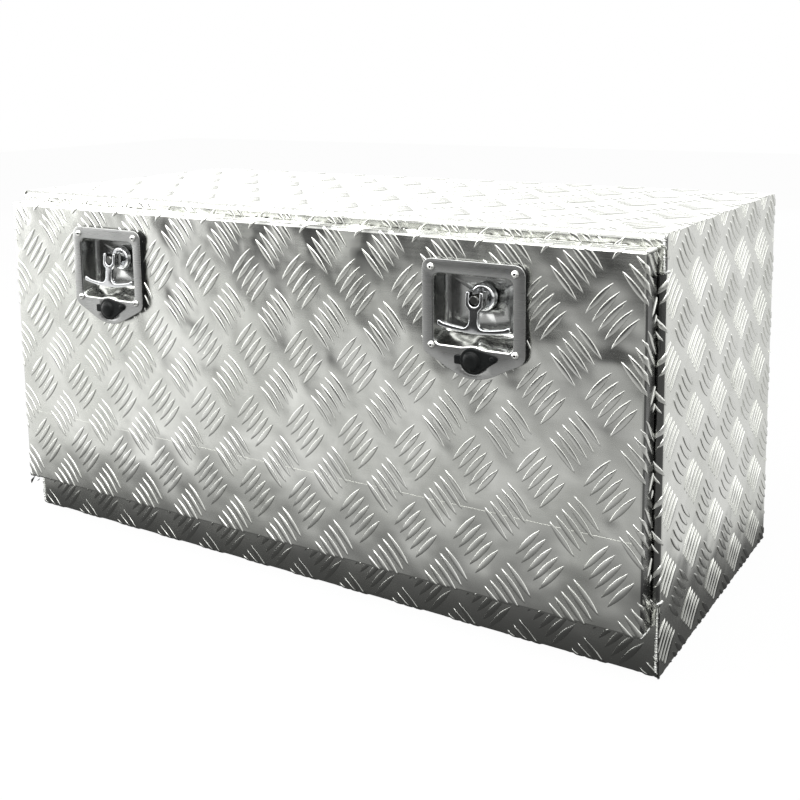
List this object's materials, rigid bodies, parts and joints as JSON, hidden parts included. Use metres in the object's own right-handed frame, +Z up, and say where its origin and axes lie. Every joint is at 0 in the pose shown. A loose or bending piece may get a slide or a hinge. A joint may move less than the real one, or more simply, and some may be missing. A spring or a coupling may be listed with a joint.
{
  "type": "aluminium tool box",
  "caption": "Tread plate aluminium tool box with a drop-down front door on a piano hinge, folding T-handle locks with key cylinders and weather caps, and slotted stays.",
  "frame": {"origin": "middle of the underside of the box body, halfway between its sides and between its front and back faces", "axes": "+Z up, +X along the front to the right as one faces the door, the front faces -Y"},
  "size_m": [0.9, 0.4342, 0.444],
  "materials": {
    "tread_plate": "bright rolled tread plate",
    "plain_sheet": "plain mill finish sheet",
    "stainless_steel": "satin, polished inside the pans",
    "bright_steel": "bright zinc plating",
    "lock_chrome": "polished chrome plating",
    "rivet_metal": "bright",
    "plug_brass": "satin",
    "rubber": "matt black"
  },
  "bodies": {
    "box": {"body_wrap": "tread_plate", "end_panel_left": "tread_plate", "end_panel_right": "tread_plate", "door_seal": "rubber", "hinge_body_leaf": "stainless_steel", "hinge_pin": "stainless_steel", "stay_rail_left": "stainless_steel", "stay_rail_right": "stainless_steel"},
    "door": {"hinge_door_leaf": "stainless_steel", "door_skin": "tread_plate", "door_liner": "plain_sheet", "stay_bracket_left": "stainless_steel", "stay_bracket_right": "stainless_steel", "stay_pin_left": "bright_steel", "stay_pin_right": "bright_steel", "lock_plate_left": "stainless_steel", "lock_gasket_left": "rubber", "lock_rivet_left_1": "rivet_metal", "lock_rivet_left_2": "rivet_metal", "lock_rivet_left_3": "rivet_metal", "lock_rivet_left_4": "rivet_metal", "lock_boss_left": "lock_chrome", "key_cylinder_left": "lock_chrome", "cap_rivet_left": "rivet_metal", "lock_plate_right": "stainless_steel", "lock_gasket_right": "rubber", "lock_rivet_right_1": "rivet_metal", "lock_rivet_right_2": "rivet_metal", "lock_rivet_right_3": "rivet_metal", "lock_rivet_right_4": "rivet_metal", "lock_boss_right": "lock_chrome", "key_cylinder_right": "lock_chrome", "cap_rivet_right": "rivet_metal"},
    "stay_left": {"stay_arm_left": "stainless_steel", "stay_stud_left": "bright_steel"},
    "stay_right": {"stay_arm_right": "stainless_steel", "stay_stud_right": "bright_steel"},
    "spindle_left": {"spindle_left": "lock_chrome", "cam_left": "bright_steel", "cam_nut_left": "bright_steel"},
    "spindle_right": {"spindle_right": "lock_chrome", "cam_right": "bright_steel", "cam_nut_right": "bright_steel"},
    "handle_left": {"t_handle_left": "lock_chrome", "handle_pin_left": "bright_steel"},
    "handle_right": {"t_handle_right": "lock_chrome", "handle_pin_right": "bright_steel"},
    "key_left": {"key_plug_left": "plug_brass"},
    "key_right": {"key_plug_right": "plug_brass"},
    "cap_left": {"weather_cap_left": "rubber"},
    "cap_right": {"weather_cap_right": "rubber"}
  },
  "joints": [
    {"name": "door_hinge", "type": "hinge", "parent": "box", "child": "door", "pos_m": [0, -0.2007, 0.048], "axis": [1, 0, 0], "range_deg": [0, 90]},
    {"name": "stay_swing_left", "type": "hinge", "parent": "door", "child": "stay_left", "pos_m": [-0.4115, -0.13269, 0.18714], "axis": [1, 0, 0], "range_deg": [-180, 0]},
    {"name": "stay_swing_right", "type": "hinge", "parent": "door", "child": "stay_right", "pos_m": [0.4115, -0.13269, 0.18714], "axis": [1, 0, 0], "range_deg": [-180, 0]},
    {"name": "spindle_turn_left", "type": "hinge", "parent": "door", "child": "spindle_left", "pos_m": [-0.2614, -0.223, 0.3682], "axis": [0, 1, 0], "range_deg": [0, 90]},
    {"name": "spindle_turn_right", "type": "hinge", "parent": "door", "child": "spindle_right", "pos_m": [0.2614, -0.223, 0.3682], "axis": [0, 1, 0], "range_deg": [0, 90]},
    {"name": "handle_fold_left", "type": "hinge", "parent": "spindle_left", "child": "handle_left", "pos_m": [-0.2614, -0.223, 0.3682], "axis": [-1, 0, 0], "range_deg": [0, 90]},
    {"name": "handle_fold_right", "type": "hinge", "parent": "spindle_right", "child": "handle_right", "pos_m": [0.2614, -0.223, 0.3682], "axis": [-1, 0, 0], "range_deg": [0, 90]},
    {"name": "key_turn_left", "type": "hinge", "parent": "door", "child": "key_left", "pos_m": [-0.2614, -0.2305, 0.3063], "axis": [0, 1, 0], "range_deg": [0, 90]},
    {"name": "key_turn_right", "type": "hinge", "parent": "door", "child": "key_right", "pos_m": [0.2614, -0.2305, 0.3063], "axis": [0, 1, 0], "range_deg": [0, 90]},
    {"name": "cap_swing_left", "type": "hinge", "parent": "door", "child": "cap_left", "pos_m": [-0.2374, -0.2305, 0.3113], "axis": [0, -1, 0], "range_deg": [0, 110]},
    {"name": "cap_swing_right", "type": "hinge", "parent": "door", "child": "cap_right", "pos_m": [0.2854, -0.2305, 0.3113], "axis": [0, -1, 0], "range_deg": [0, 110]}
  ],
  "couplings": [
    {"joint": "stay_swing_left", "follows": "door_hinge", "ratio": -2},
    {"joint": "stay_swing_right", "follows": "door_hinge", "ratio": -2},
    {"joint": "spindle_turn_left", "follows": "handle_fold_left", "ratio": 1},
    {"joint": "spindle_turn_right", "follows": "handle_fold_right", "ratio": 1}
  ]
}
